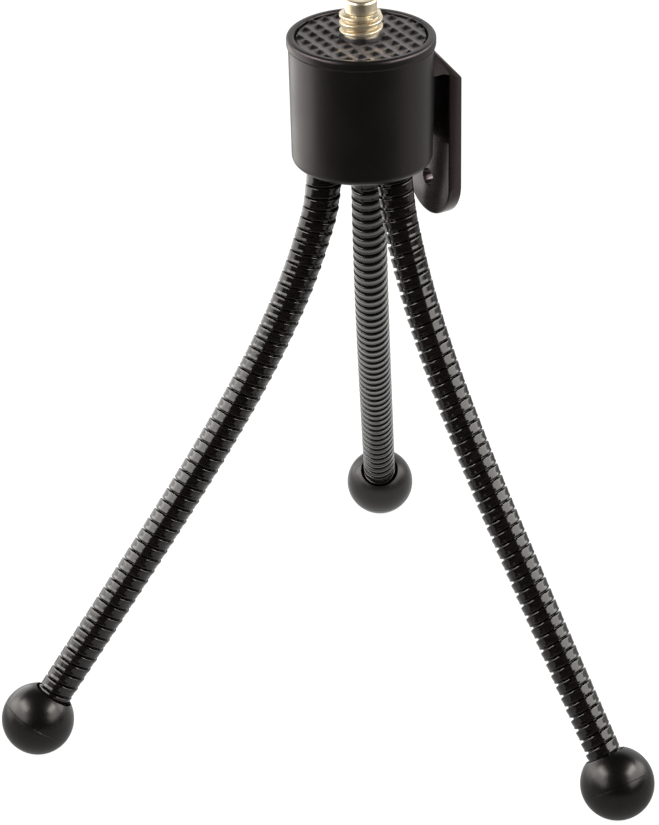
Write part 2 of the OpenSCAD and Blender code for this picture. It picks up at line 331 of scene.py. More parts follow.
@dataclass(frozen=True)
class EnamelledWire(Finish):
    """Rolled steel strip with a thin coat of black enamel: a satin gloss, streaked along the strip."""

    colour: str = "#0d0b0a"
    rubbed: str = "#1d1918"
    rubbed_range: Span = (0.45, 0.75)
    ior: float = 1.55
    roughness: float = 0.13
    roughness_spread: float = 0.06
    streak_mm: float = 2.4
    streak_width_mm: float = 0.14
    streak_depth_mm: float = 0.0012
    streak_detail: float = 4.0
    streak_range: Span = (0.3, 0.7)
    uv_name: str = "winding"

    def surface(self, tree: bpy.types.NodeTree) -> Inputs:
        """Adds the streaks, in the map of the strip's length and section, which is in millimetres.

        Args:
            tree: Tree that takes the nodes.

        Returns:
            Values and sockets for the shader, by input name.
        """
        along = add_node(tree, "UVMap", uv_map=self.uv_name).outputs["UV"]
        scale = (1 / self.streak_mm, 1 / self.streak_width_mm, 1.0)
        stretch = add_node(tree, "Mapping", {"Vector": along, "Scale": scale}).outputs[0]
        pattern = {"Vector": stretch, "Scale": 1.0, "Detail": self.streak_detail}
        streak = add_node(tree, "TexNoise", pattern).outputs["Fac"]
        start, stop = self.rubbed_range
        rub = add_node(tree, "MapRange", {"Value": streak, "From Min": start, "From Max": stop})
        ends = {0: rub.outputs["Result"], 6: linear(self.colour), 7: linear(self.rubbed)}
        gloss = {
            "Value": streak,
            "From Min": self.streak_range[0],
            "From Max": self.streak_range[1],
            "To Min": self.roughness - self.roughness_spread / 2,
            "To Max": self.roughness + self.roughness_spread / 2,
        }
        bump = {"Height": streak, "Strength": 1.0, "Distance": self.streak_depth_mm * MM}
        return {
            "Base Color": add_node(tree, "Mix", ends, data_type="RGBA").outputs[2],
            "IOR": self.ior,
            "Roughness": add_node(tree, "MapRange", gloss).outputs["Result"],
            "Normal": add_node(tree, "Bump", bump).outputs["Normal"],
        }


@dataclass(frozen=True)
class TurnedMetal(Finish):
    """Bar stock off a lathe: bright, with fine rings of tool marks, tarnished in clouds, with painted shade in the
    grooves.
    """

    colour: str
    tarnish: str
    # Colour of the painted shade that darkens grooves and hollows
    groove_shade: str
    roughness: float = 0.2
    # A real tool mark is under 0.05 mm, so the rings are drawn coarser to show
    ring_mm: float = 0.09
    ring_depth_mm: float = 0.004
    ring_waver: float = 1.5
    ring_detail: float = 2.0
    cloud_mm: float = 1.6
    cloud_detail: float = 4.0
    tarnish_range: Span = (0.45, 0.8)
    # Pointiness over which the painted shade fades in, in concave places
    groove_shade_edges: Span = (0.5, 0.465)

    def surface(self, tree: bpy.types.NodeTree) -> Inputs:
        """Adds the tool marks, the tarnish and the painted shade in the grooves.

        Args:
            tree: Tree that takes the nodes.

        Returns:
            Values and sockets for the shader, by input name.
        """
        place = add_node(tree, "TexCoord").outputs["Object"]
        marks = {
            "Vector": place,
            "Scale": per_metre(self.ring_mm) / FULL_TURN,
            "Distortion": self.ring_waver,
            "Detail": self.ring_detail,
        }
        rings = add_node(tree, "TexWave", marks, wave_type="BANDS", bands_direction="Z").outputs["Fac"]
        pattern = {"Vector": place, "Scale": per_metre(self.cloud_mm), "Detail": self.cloud_detail}
        cloud = add_node(tree, "TexNoise", pattern).outputs["Fac"]
        # Painted shade: concave places, such as the thread's grooves, take the groove shade colour
        edges = add_node(tree, "NewGeometry").outputs["Pointiness"]
        stain, shaded_hollow = (
            add_node(tree, "MapRange", {"Value": value, "From Min": start, "From Max": stop})
            for value, (start, stop) in ((cloud, self.tarnish_range), (edges, self.groove_shade_edges))
        )
        ends = {0: stain.outputs["Result"], 6: linear(self.colour), 7: linear(self.tarnish)}
        bright = add_node(tree, "Mix", ends, data_type="RGBA")
        groove_shaded = {0: shaded_hollow.outputs["Result"], 6: bright.outputs[2], 7: linear(self.groove_shade)}
        bump = {"Height": rings, "Strength": 1.0, "Distance": self.ring_depth_mm * MM}
        return {
            "Base Color": add_node(tree, "Mix", groove_shaded, data_type="RGBA").outputs[2],
            "Metallic": 1.0,
            "Roughness": self.roughness,
            "Normal": add_node(tree, "Bump", bump).outputs["Normal"],
        }


# ABS from an eroded mould: soft, slightly warm highlights
HEAD_ABS = MouldedPlastic("moulded_black_abs_satin")
# ABS from a polished mould: clear reflections on a flat, slightly brown black
CLIP_ABS = MouldedPlastic(
    "moulded_black_abs_gloss",
    colour="#1f1b1a",
    rubbed="#322d2c",
    roughness=0.2,
    roughness_spread=0.04,
    grain_depth_mm=0.0007,
    ior=1.53,
)
# ABS from a spark-eroded mould: a deep black with broad highlights broken by its grain
BALL_ABS = MouldedPlastic(
    "moulded_black_abs_ball",
    colour="#080808",
    rubbed="#141313",
    roughness=0.29,
    grain_mm=0.3,
    grain_depth_mm=0.006,
    sheen="#fffaf6",
)
# Undyed inner moulding: plain dull grey
DECK_ABS = MouldedPlastic("moulded_grey_abs_deck", colour="#2c2b2c", rubbed="#3d3b3c", roughness=0.5)
# Soft black rubber: dull highlights on each pyramid's sides, greyer in the valleys with dust and painted light
PAD_RUBBER = MouldedRubber("moulded_black_rubber")
# Enamel on rolled strip: a bright line of light on every turn
LEG_STEEL = EnamelledWire("black_enamelled_steel_strip")
# Brass off the lathe: pale yellow metal, with painted brown shade in the thread
STUD_BRASS = TurnedMetal("turned_brass", colour="#fbf0d6", tarnish="#dcc59a", groove_shade="#6e4f2c", roughness=0.36)
# Steel with a bright zinc coat: pale blue-grey metal, with painted grey shade in its grooves
PLAIN_STEEL = TurnedMetal(
    "zinc_plated_steel", colour="#c3c5c8", tarnish="#9fa2a5", groove_shade="#77797b", roughness=0.3
)


# Shape helpers, in millimetres


def box_mm(node: str) -> tuple[Vector, Vector]:
    """Gives the corners of a CAD node's box in millimetres."""
    low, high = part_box(node)
    return low / MM, high / MM


def arc(centre: Point2, radius: float, start: float, stop: float, steps: int = 8) -> Outline:
    """Draws an arc as points.

    Args:
        centre: Centre of the arc.
        radius: Its radius.
        start: Angle of its first point, in degrees.
        stop: Angle of its last point, in degrees.
        steps: Number of straight steps.

    Returns:
        The points in order.
    """
    angles = (math.radians(start + (stop - start) * i / steps) for i in range(steps + 1))
    return [(centre[0] + radius * math.cos(a), centre[1] + radius * math.sin(a)) for a in angles]


def rounded(corners: Sequence[Point2], radii: Sequence[float], steps: int = 6) -> Outline:
    """Rounds the corners of a closed outline.

    Args:
        corners: Corners in order.
        radii: Radius at each corner, or zero to leave it sharp.
        steps: Number of straight steps in each round.

    Returns:
        The points of the rounded outline.
    """
    points: Outline = []
    for i, corner in enumerate(corners):
        here = Vector(corner)
        before = (Vector(corners[i - 1]) - here).normalized()
        after = (Vector(corners[(i + 1) % len(corners)]) - here).normalized()
        half = before.angle(after) / 2
        if radii[i] <= 0:
            points.append(corner)
            continue
        middle = here + (before + after).normalized() * radii[i] / math.sin(half)
        first = here + before * radii[i] / math.tan(half) - middle
        last = here + after * radii[i] / math.tan(half) - middle
        turn = first.angle_signed(last)
        for step in range(steps + 1):
            spoke = Matrix.Rotation(-turn * step / steps, 2) @ first
            points.append(tuple(middle + spoke))
    return points


def new_piece(name: str, vertices: Sequence[Any], faces: Sequence[Sequence[int]]) -> bpy.types.Object:
    """Makes an object from points and faces, with its faces turned outward.

    Args:
        name: Name of the piece.
        vertices: Points, in millimetres.
        faces: Corner numbers of each face.

    Returns:
        The new object.
    """
    mesh = bpy.data.meshes.new(name)
    mesh.from_pydata([tuple(v) for v in vertices], [], faces)
    shape = bmesh.new()
    shape.from_mesh(mesh)
    bmesh.ops.recalc_face_normals(shape, faces=shape.faces)
    shape.to_mesh(mesh)
    shape.free()
    piece = bpy.data.objects.new(name, mesh)
    bpy.context.scene.collection.objects.link(piece)
    return piece


def turned(name: str, profile: Outline, sides: int = 128) -> bpy.types.Object:
    """Turns a profile about the z axis into a solid.

    Args:
        name: Name of the piece.
        profile: Radius and height of each point, from the axis back to the axis.
        sides: Number of steps around.

    Returns:
        The turned object.
    """
    vertices: list[tuple[float, float, float]] = []
    rings: list[list[int]] = []
    for radius, height in profile:
        count = 1 if radius < LEAST_R else sides
        rings.append(list(range(len(vertices), len(vertices) + count)))
        for i in range(count):
            a = FULL_TURN * i / sides
            vertices.append((radius * math.cos(a), radius * math.sin(a), height))
    faces: list[tuple[int, ...]] = []
    for upper, lower in zip(rings[:-1], rings[1:]):
        for i in range(sides):
            j = (i + 1) % sides
            corners = [upper[k % len(upper)] for k in (i, j)] + [lower[k % len(lower)] for k in (j, i)]
            faces.append(tuple(dict.fromkeys(corners)))
    return new_piece(name, vertices, [f for f in faces if len(f) > 2])


def extruded(
    name: str, outline: Outline, place: Callable[[float, float, float], Any], low: float, high: float
) -> bpy.types.Object:
    """Extrudes an outline between two levels.

    Args:
        name: Name of the piece.
        outline: Points of the closed outline.
        place: Turns the outline's two numbers and a level into a point.
        low: First level.
        high: Second level.

    Returns:
        The extruded object.
    """
    count = len(outline)
    vertices = [place(*point, level) for level in (low, high) for point in outline]
    sides = [(i, (i + 1) % count, (i + 1) % count + count, i + count) for i in range(count)]
    return new_piece(name, vertices, [tuple(range(count)), tuple(range(count, 2 * count)), *sides])


def carve(piece: bpy.types.Object, tool: bpy.types.Object, action: Carve) -> None:
    """Cuts, keeps or adds a shape, and removes the tool shape.

    Args:
        piece: Shape that is changed.
        tool: Shape that it is changed with.
        action: What is done.
    """
    modifier = piece.modifiers.new("carve", "BOOLEAN")
    modifier.operation = action.value
    modifier.solver = "EXACT"
    modifier.object = tool
    view = bpy.context.evaluated_depsgraph_get()
    mesh = bpy.data.meshes.new_from_object(piece.evaluated_get(view))
    piece.modifiers.clear()
    piece.data, old = mesh, piece.data
    bpy.data.meshes.remove(old)
    bpy.data.objects.remove(tool)


def soften(piece: bpy.types.Object, width: float, sharp_deg: float = 40.0, steps: int = 3) -> None:
    """Rounds the sharp edges of a shape.

    Args:
        piece: Shape that is changed.
        width: Width of the rounding.
        sharp_deg: Least angle between two faces that counts as sharp.
        steps: Number of steps in the rounding.
    """
    shape = bmesh.new()
    shape.from_mesh(piece.data)
    bmesh.ops.dissolve_limit(shape, angle_limit=math.radians(FLAT_DEG), verts=shape.verts, edges=shape.edges)
    sharp = [e for e in shape.edges if e.calc_face_angle(0) > math.radians(sharp_deg)]
    bmesh.ops.bevel(
        shape, geom=sharp, offset=width, segments=steps, profile=0.5, affect="EDGES", clamp_overlap=True
    )
    shape.to_mesh(piece.data)
    shape.free()


def finish_piece(
    piece: bpy.types.Object,
    finish: Finish,
    nodes: Sequence[str],
    body: str | None,
    place: Matrix | None = None,
    smooth_deg: float = 35.0,
) -> bpy.types.Object:
    """Places a piece in metres, shades it smooth, gives it its finish, hides the CAD nodes that it stands for and
    attaches it to its body.

    Args:
        piece: Shape in millimetres.
        finish: Its surface finish.
        nodes: CAD nodes that it stands for.
        body: CAD body that it rides on, or None to leave it on no body.
        place: Where it goes, in millimetres.
        smooth_deg: Angle above which an edge stays sharp.

    Returns:
        The same piece.
    """
    piece.data.transform(Matrix.Scale(MM, 4) @ (place or Matrix.Identity(4)))
    piece.data.polygons.foreach_set("use_smooth", [True] * len(piece.data.polygons))
    piece.data.set_sharp_from_angle(angle=math.radians(smooth_deg))
    piece.data.materials.clear()
    found = bpy.data.materials.get(finish.name)
    piece.data.materials.append(found or finish.material())
    if nodes:
        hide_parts(*nodes)
    if body:
        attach(piece, body)
    LOG.info("%s stands for %s", piece.name, ", ".join(nodes) or "no node")
    return piece


# The head


@dataclass
class HeadShell:
    """The round moulded head: a rim band, a tapered side, a rounded bottom edge and three leg sockets."""

    rim_h: float = 1.5
    rim_proud: float = 0.25
    rim_top_round: float = 0.55
    rim_low_round: float = 0.23
    neck_round: float = 0.2
    recess_r: float = 9.7575
    recess_depth: float = 1.4
    bottom_r: float = 10.44
    bottom_round: float = 1.2
    socket_r: float = 2.75
    socket_depth: float = 2.8
    socket_edge: float = 0.18
    socket_sides: int = 64

    def build(self, roots: Sequence[tuple[Vector, Vector]]) -> bpy.types.Object:
        """Builds the head.

        Args:
            roots: A point on each leg's root axis, and the axis from there down the leg.

        Returns:
            The dressed head.
        """
        low, high = box_mm("head_shell")
        head = turned("head_body", self.profile((high.x - low.x) / 2, low.z, high.z))
        for point, axis in roots:
            mouth = point + axis * ((low.z - point.z) / axis.z)
            carve(head, self.socket(mouth, axis), Carve.CUT)
        return finish_piece(head, HEAD_ABS, ["head_shell"], "head")

    def profile(self, rim_r: float, bottom: float, top: float) -> Outline:
        """Draws half of the head's section.

        Args:
            rim_r: Radius of the rim.
            bottom: Level of the head's bottom.
            top: Level of the rim's top.

        Returns:
            Radius and height of each point, from the axis at the top to the axis at the bottom.
        """
        side_r = rim_r - self.rim_proud
        rim_low = top - self.rim_h
        t, w, n, b = self.rim_top_round, self.rim_low_round, self.neck_round, self.bottom_round
        return [
            (0, top - self.recess_depth),
            (self.recess_r, top - self.recess_depth),
            *arc((self.recess_r + t / 2, top - t / 2), t / 2, 180, 90, steps=5),
            *arc((rim_r - t, top - t), t, 90, 0),
            *arc((rim_r - w, rim_low + w), w, 0, -90),
            *arc((side_r + n, rim_low - n), n, 90, 180, steps=5),
            *arc((self.bottom_r - b, bottom + b), b, 0, -90, steps=10),
            (0, bottom),
        ]

    def socket(self, mouth: Vector, axis: Vector) -> bpy.types.Object:
        """Makes the shape of one leg socket with a broken edge.

        Args:
            mouth: Centre of the socket on the head's bottom.
            axis: Direction down the leg.

        Returns:
            The shape to cut out.
        """
        r, e, d = self.socket_r, self.socket_edge, self.socket_depth
        # The broken edge slopes on past the head's bottom
        profile = [(0, d), (r, d), (r, e), (r + 3 * e, -2 * e), (0, -2 * e)]
        plug = turned("socket", profile, self.socket_sides)
        turn = (-axis).to_track_quat("Z", "Y").to_matrix().to_4x4()
        plug.data.transform(Matrix.Translation(mouth) @ turn)
        return plug


@dataclass
class GripPad:
    """The round rubber pad of small pyramids that the camera sits on."""

    pitch: float = 2.2
    pyramid_h: float = 0.65
    turn_deg: float = 6.0
    shift: Point2 = (0.34, -0.1)
    steps: int = 8
    base: float = 0.78
    ridge_power: float = 6.0
    tip_round: float = 0.12
    collar_w: float = 0.45
    collar_h: float = 0.2
    collar_flare: float = 0.1
    thread_depth: float = 0.45

    def build(self, stud_r: float) -> bpy.types.Object:
        """Builds the pad.

        Args:
            stud_r: Radius of the camera stud.

        Returns:
            The dressed pad.
        """
        low, high = box_mm("top_pad")
        radius = (high.x - low.x) / 2
        pad = self.pyramids(math.ceil(radius / self.pitch) + 1, low.z, high.z)
        carve(pad, self.plug(radius, low.z, high.z), Carve.KEEP)
        hole_r = stud_r - self.thread_depth
        foot = high.z - self.pyramid_h / 2
        lip_r, lip_z = hole_r + self.collar_w, high.z + self.collar_h
        lip = [(0, lip_z), (lip_r, lip_z), (lip_r + self.collar_flare, foot), (0, foot)]
        carve(pad, turned("collar", lip), Carve.ADD)
        carve(pad, self.plug(hole_r, low.z - PAST, high.z + PAST), Carve.CUT)
        return finish_piece(pad, PAD_RUBBER, ["top_pad"], "head", smooth_deg=50)

    def plug(self, radius: float, low: float, high: float) -> bpy.types.Object:
        """Makes a plain round plug between two levels."""
        return turned("plug", [(0, high), (radius, high), (radius, low), (0, low)])

    def height(self, x: float, y: float) -> float:
        """Gives the pad's height over one pyramid.

        Args:
            x: Distance from the pyramid's tip, as a share of half the pitch.
            y: The same, the other way.

        Returns:
            Height below the tip, as a share of the pyramid's height.
        """
        off = (abs(x) ** self.ridge_power + abs(y) ** self.ridge_power) ** (1 / self.ridge_power)
        top = math.hypot(min(off / self.base, 1.0), self.tip_round)
        return -(top - self.tip_round)

    def pyramids(self, rows: int, low: float, high: float) -> bpy.types.Object:
        """Makes a square slab of pyramids.

        Args:
            rows: Pyramids from the middle to each side.
            low: Level of the slab's bottom.
            high: Level of the pyramids' tips.

        Returns:
            The slab, larger than the pad.
        """
        count = 2 * rows * self.steps
        turn = Matrix.Rotation(math.radians(self.turn_deg), 3, "Z")
        top: list[Vector] = []
        for i in range(count + 1):
            for j in range(count + 1):
                cells = [k / self.steps - rows for k in (i, j)]
                share = [2 * (c - round(c)) for c in cells]
                height = high + self.pyramid_h * self.height(*share)
                x, y = ((c + shift) * self.pitch for c, shift in zip(cells, self.shift))
                top.append(turn @ Vector((x, y, height)))
        bottom = [Vector((p.x, p.y, low)) for p in top]
        side = count + 1
        quads = [
            (i * side + j, (i + 1) * side + j, (i + 1) * side + j + 1, i * side + j + 1)
            for i in range(count)
            for j in range(count)
        ]
        below = [tuple(k + len(top) for k in reversed(q)) for q in quads]
        walls = []
        for k in range(count):
            for a, b in (
                (k, k + 1),
                (count * side + k + 1, count * side + k),
                ((k + 1) * side, k * side),
                (k * side + count, (k + 1) * side + count),
            ):
                walls.append((a, b, b + len(top), a + len(top)))
        return new_piece("grip_pad", top + bottom, [*quads, *below, *walls])


@dataclass
class CameraStud:
    """The turned brass stud with its right-handed camera thread, plain tip, neck and hexagon flange."""

    pitch: float = 1.27
    depth: float = 0.5
    crest: float = 0.3
    root: float = 0.2
    start: float = -0.06
    undercut: float = 0.45
    thread_top: float = 3.6
    end_slope: float = 2.2
    tip_r: float = 2.35
    tip_round: float = 0.45
    dimple_r: float = 0.9
    dimple_depth: float = 0.3
    buried: float = 1.3
    neck_relief: float = 0.3
    flange_r: float = 4.9
    flange_h: float = 2.0
    flange_sides: int = 6
    rows: int = 190
    sides: int = 96

    def build(self, radius: float) -> bpy.types.Object:
        """Builds the stud.

        Args:
            radius: Outer radius of the thread.

        Returns:
            The dressed stud.
        """
        low, high = box_mm("camera_stud")
        stud = self.thread(radius, high.z)
        base = -self.buried
        neck = radius - self.neck_relief
        hexagon = [(self.flange_r, low.z + self.flange_h), (self.flange_r, low.z)]
        flange = turned("flange", [(0, low.z + self.flange_h), *hexagon, (0, low.z)], self.flange_sides)
        shank = turned("shank", [(0, base), (neck, base), (neck, low.z), (0, low.z)], self.sides)
        carve(shank, flange, Carve.ADD)
        self.join(stud, shank)
        return finish_piece(stud, STUD_BRASS, ["camera_stud"], "head", smooth_deg=60)

    def join(self, piece: bpy.types.Object, other: bpy.types.Object) -> None:
        """Adds another closed shape to a piece's mesh and removes the other object."""
        shape = bmesh.new()
        shape.from_mesh(piece.data)
        shape.from_mesh(other.data)
        shape.to_mesh(piece.data)
        shape.free()
        bpy.data.objects.remove(other)

    def thread(self, radius: float, top: float) -> bpy.types.Object:
        """Makes the threaded length with its plain tip.

        Args:
            radius: Outer radius of the thread.
            top: Level of the tip.

        Returns:
            The threaded length, closed at both ends.
        """
        levels = [-self.buried + (top + self.buried) * i / self.rows for i in range(self.rows + 1)]
        vertices: list[tuple[float, float, float]] = []
        for z in levels:
            for i in range(self.sides):
                r = min(radius - self.depth * self.groove(z, i / self.sides), self.widest(z, radius, top))
                a = FULL_TURN * i / self.sides
                vertices.append((r * math.cos(a), r * math.sin(a), z))
        faces = []
        for k in range(self.rows):
            for i in range(self.sides):
                j = (i + 1) % self.sides
                faces.append(tuple(n + (k + m) * self.sides for n, m in ((i, 0), (j, 0), (j, 1), (i, 1))))
        faces.append(tuple(range(self.sides)))
        rim = [self.rows * self.sides + i for i in range(self.sides)]
        inner = len(vertices)
        for i in range(self.sides):
            a = FULL_TURN * i / self.sides
            vertices.append((self.dimple_r * math.cos(a), self.dimple_r * math.sin(a), top))
        vertices.append((0, 0, top - self.dimple_depth))
        for i in range(self.sides):
            j = (i + 1) % self.sides
            faces.append((rim[i], rim[j], inner + j, inner + i))
            faces.append((inner + i, inner + j, inner + self.sides))
        return new_piece("camera_screw", vertices, faces)

    def widest(self, z: float, radius: float, top: float) -> float:
        """Gives the greatest radius at a level.

        Args:
            z: The level.
            radius: Outer radius of the thread.
            top: Level of the tip.

        Returns:
            The radius that the undercut at the pad, the thread's upper end and the tip's round edge leave.
        """
        undercut = radius - self.depth + self.end_slope * max(0.0, z - self.undercut)
        over = max(0.0, z - (top - self.tip_round))
        tip = self.tip_r - self.tip_round + math.sqrt(max(0.0, self.tip_round**2 - over**2))
        return min(undercut, tip + self.end_slope * max(0.0, self.thread_top - z))

    def groove(self, z: float, turn: float) -> float:
        """Gives the depth of the thread at a level and a share of a turn, as a share of its full depth."""
        phase = (z / self.pitch - turn - self.start) % 1.0
        flank = (1 - self.crest - self.root) / 2
        off = abs(phase - 0.5)
        share = min(1.0, max(0.0, (0.5 - self.crest / 2 - off) / flank))
        return share * share * (3 - 2 * share)


@dataclass
class PocketClip:
    """The side plate: a sloping root at the head and a straight plate with a round end and a lanyard hole."""

    width: float = 11.5
    shoulder_z: float = -8.1
    slope_deg: float = 48.0
    slot_z: float = -7.0
    shoulder_round: float = 0.8
    slot_round: float = 0.5
    edge_round: float = 0.28
    head_gap: float = 0.05
    side_top_r: float = 10.7075
    side_low_r: float = 10.44
    side_low_z: float = -18.8
    rim_low: float = -1.6
    rim_proud: float = 0.25
    root_reach: float = 5.2
    room_top: float = 10.0

    def build(self, hole: dict[str, Any]) -> bpy.types.Object:
        """Builds the side plate.

        Args:
            hole: The record's mount for the lanyard hole, in the middle of the rounded end.

        Returns:
            The dressed side plate.
        """
        spot = Vector(hole["pos_m"]) / MM
        thickness = hole["dims"]["length_mm"]
        inner = math.hypot(spot.x, spot.y) - thickness / 2
        clip = self.side(inner, inner + thickness, spot.z - self.width)
        carve(clip, self.front(inner, thickness, spot.z), Carve.KEEP)
        soften(clip, self.edge_round)
        carve(clip, self.pin(inner, thickness, spot.z, hole["dims"]["r_mm"]), Carve.CUT)
        carve(clip, self.head_room(), Carve.CUT)
        turn = Matrix.Rotation(math.atan2(spot.y, spot.x), 4, "Z")
        return finish_piece(clip, CLIP_ABS, ["pocket_clip"], "head", place=turn)

    def side(self, inner: float, outer: float, low: float) -> bpy.types.Object:
        """Extrudes the plate's side view across its width."""
        root_x = outer - self.root_reach
        rise = self.root_reach * math.tan(math.radians(self.slope_deg))
        corners = [
            (inner, low),
            (outer, low),
            (outer, self.shoulder_z),
            (root_x, self.shoulder_z + rise),
            (root_x, self.slot_z),
            (inner, self.slot_z),
        ]
        outline = rounded(corners, [0, 0, self.shoulder_round, 0, 0, self.slot_round])
        half = self.width / 2
        return extruded("pocket_plate", outline, lambda n, z, t: (n, t, z), -half, half)

    def front(self, inner: float, thickness: float, end_z: float) -> bpy.types.Object:
        """Makes the plate's front view, straight above and round below, as a block through it."""
        half = self.width / 2
        outline = [(half, 0), *arc((0, end_z), half, 0, -180, steps=48), (-half, 0)]
        reach = 2 * self.root_reach
        return extruded("front", outline, lambda t, z, n: (n, t, z), inner - reach, inner + thickness + reach)

    def pin(self, inner: float, thickness: float, end_z: float, radius: float) -> bpy.types.Object:
        """Makes the shape of the lanyard hole."""
        outline = arc((0, end_z), radius, 0, 360, steps=40)[:-1]
        return extruded("hole", outline, lambda t, z, n: (n, t, z), inner - thickness, inner + 2 * thickness)

    def head_room(self) -> bpy.types.Object:
        """Makes the room that the head takes up beside the plate's root."""
        g = self.head_gap
        rim = self.side_top_r + self.rim_proud + g
        profile = [
            (0, self.room_top),
            (rim, self.room_top),
            (rim, self.rim_low - g),
            (self.side_top_r + g, self.rim_low - g),
            (self.side_low_r + g, self.side_low_z),
            (0, self.side_low_z),
        ]
        return turned("head_room", profile)


# The legs


@dataclass
class Gooseneck:
    """One bendable leg: a strip wound in a right-handed helix, in lengths with one hinge each."""

    name: LegName
    radius: float = 2.65
    pitch: float = 1.84
    groove: float = 0.45
    strip: float = 1.0
    gap: float = 0.045
    open_gap: float = 0.2
    ledge_gap: float = 0.008
    ledge_depth: float = 0.85
    buried: float = 2.4
    plugged: float = 3.2
    lip_room: float = 0.5
    slope_reach: float = 0.3
    curve_steps: int = 24
    sides: int = 48

    # The strip's section from its upper edge: share of the pitch, then share of the groove's depth on the
    # outer side of the leg's bend and on its inner side, where the turns open and the strip tips
    SECTION = (
        (0.0, 1.0, 1.0),
        (0.012, 0.52, 0.52),
        (0.028, 0.22, 0.22),
        (0.05, 0.07, 0.07),
        (0.08, 0.012, 0.012),
        (0.115, 0.0, 0.0),
        (0.17, 0.0, 0.0),
        (0.2, 0.002, 0.005),
        (0.23, 0.008, 0.022),
        (0.57, 0.072, 0.243),
        (0.6, 0.08, 0.262),
        (0.62, 0.081, 0.265),
        (0.64, 0.078, 0.26),
        (0.81, 0.042, 0.212),
        (0.84, 0.038, 0.206),
        (0.88, 0.07, 0.23),
        (0.92, 0.21, 0.34),
        (0.955, 0.46, 0.56),
        (0.98, 0.79, 0.83),
        (1.0, 1.0, 1.0),
    )

    # How far down the leg the winding is shifted, in turns, as its grooves lie in the photograph
    PHASE = {LegName.REAR: 0.0, LegName.LEFT: 0.38, LegName.RIGHT: 0.58}

    def __post_init__(self) -> None:
        """Reads the leg's hinges, root and ball from the frame and lays out its centre line."""
        prefix = self.name.value + "_leg_"
        hinges = [j for j in FRAME["joints"] if j["child"].startswith(prefix)]
        self.hinges = sorted(hinges, key=lambda j: int(j["child"][len(prefix) :]))
        pivots = [Vector(j["pos_m"]) / MM for j in self.hinges]
        self.root = sum(box_mm(prefix + "ferrule"), Vector()) / 2
        low, high = box_mm(self.name.value + "_ball_foot")
        self.ball_r = (high.x - low.x) / 2
        self.ball = (low + high) / 2
        self.knots = np.array([self.root, *pivots, self.ball])
        self.lay_out()

    def lay_out(self) -> None:
        """Samples a smooth curve through the knots, with its length from the head's bottom."""
        steps = np.linalg.norm(np.diff(self.knots, axis=0), axis=1)
        at = np.concatenate([[0], np.cumsum(steps)])
        slopes = np.gradient(self.knots, at, axis=0)
        slopes[0] = (self.knots[1] - self.knots[0]) / steps[0]
        # The root is straight down to the first hinge
        slopes[1] = slopes[0]
        slopes[-1] = (self.knots[-1] - self.knots[-2]) / steps[-1]
        points = []
        for i, length in enumerate(steps):
            u = np.linspace(0, 1, self.curve_steps, endpoint=i == len(steps) - 1)[:, None]
            points.append(
                (2 * u**3 - 3 * u**2 + 1) * self.knots[i]
                + (u**3 - 2 * u**2 + u) * length * slopes[i]
                + (3 * u**2 - 2 * u**3) * self.knots[i + 1]
                + (u**3 - u**2) * length * slopes[i + 1]
            )
        self.line = np.concatenate(points)
        gone = np.concatenate([[0], np.cumsum(np.linalg.norm(np.diff(self.line, axis=0), axis=1))])
        bottom = box_mm("head_shell")[0].z
        self.line_s = gone - np.interp(-bottom, -self.line[:, 2], gone)

    def point_at(self, s: np.ndarray) -> np.ndarray:
        """Gives the points on the centre line at lengths along the leg below the head."""
        return np.stack([np.interp(s, self.line_s, self.line[:, k]) for k in range(3)], -1)

    def at(self, s: np.ndarray) -> tuple[np.ndarray, np.ndarray, np.ndarray]:
        """Finds the centre line and its cross directions.

        Args:
            s: Lengths along the leg below the head.

        Returns:
            Points on the centre line and two directions square to it: along its hinges, and inward.
        """
        along = self.point_at(s + self.slope_reach) - self.point_at(s - self.slope_reach)
        along /= np.linalg.norm(along, axis=-1, keepdims=True)
        out = self.knots[-1] - self.knots[1]
        across = np.cross(out, (0, 0, 1.0))
        first = across - along * (along @ across)[..., None]
        first /= np.linalg.norm(first, axis=-1, keepdims=True)
        return self.point_at(s), first, np.cross(along, first)

    def length_at(self, point: np.ndarray) -> float:
        """Gives the length along the leg at the sample nearest a point."""
        return float(self.line_s[np.linalg.norm(self.line - point, axis=1).argmin()])

    def build(self) -> None:
        """Winds the leg in one length for each hinge and one for its end in the ball."""
        middles = [self.length_at((a + b) / 2) for a, b in zip(self.knots[1:-2], self.knots[2:-1])]
        last = self.length_at(np.array(self.hinges[-1]["pos_m"]) / MM)
        foot = self.line_s[-1] - math.sqrt(self.ball_r**2 - (self.radius + self.lip_room) ** 2)
        middles.append((last + foot) / 2)
        cuts = [-self.buried, *middles, foot + self.plugged]
        prefix = self.name.value + "_leg_"
        nodes = [prefix + "root", *(f"{prefix}link_{k + 1}" for k in range(len(self.hinges)))]
        for k, (start, stop) in enumerate(zip(cuts[:-1], cuts[1:])):
            piece = self.wind(f"{prefix}winding_{k + 1}", start / self.pitch, stop / self.pitch)
            hinge = self.hinges[k] if k < len(self.hinges) else None
            body = None if hinge else self.hinges[-1]["child"]
            finish_piece(piece, LEG_STEEL, [nodes[k]], body, smooth_deg=50)
            if hinge:
                # The cut crosses one whole turn, so the stretch round the hinge ends a turn short of either cut
                pivot = self.length_at(np.array(hinge["pos_m"]) / MM)
                half = min(pivot - start, stop - pivot) - self.pitch
                ends = self.at(np.array([pivot - half, pivot + half]))[0] * MM
                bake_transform(piece)

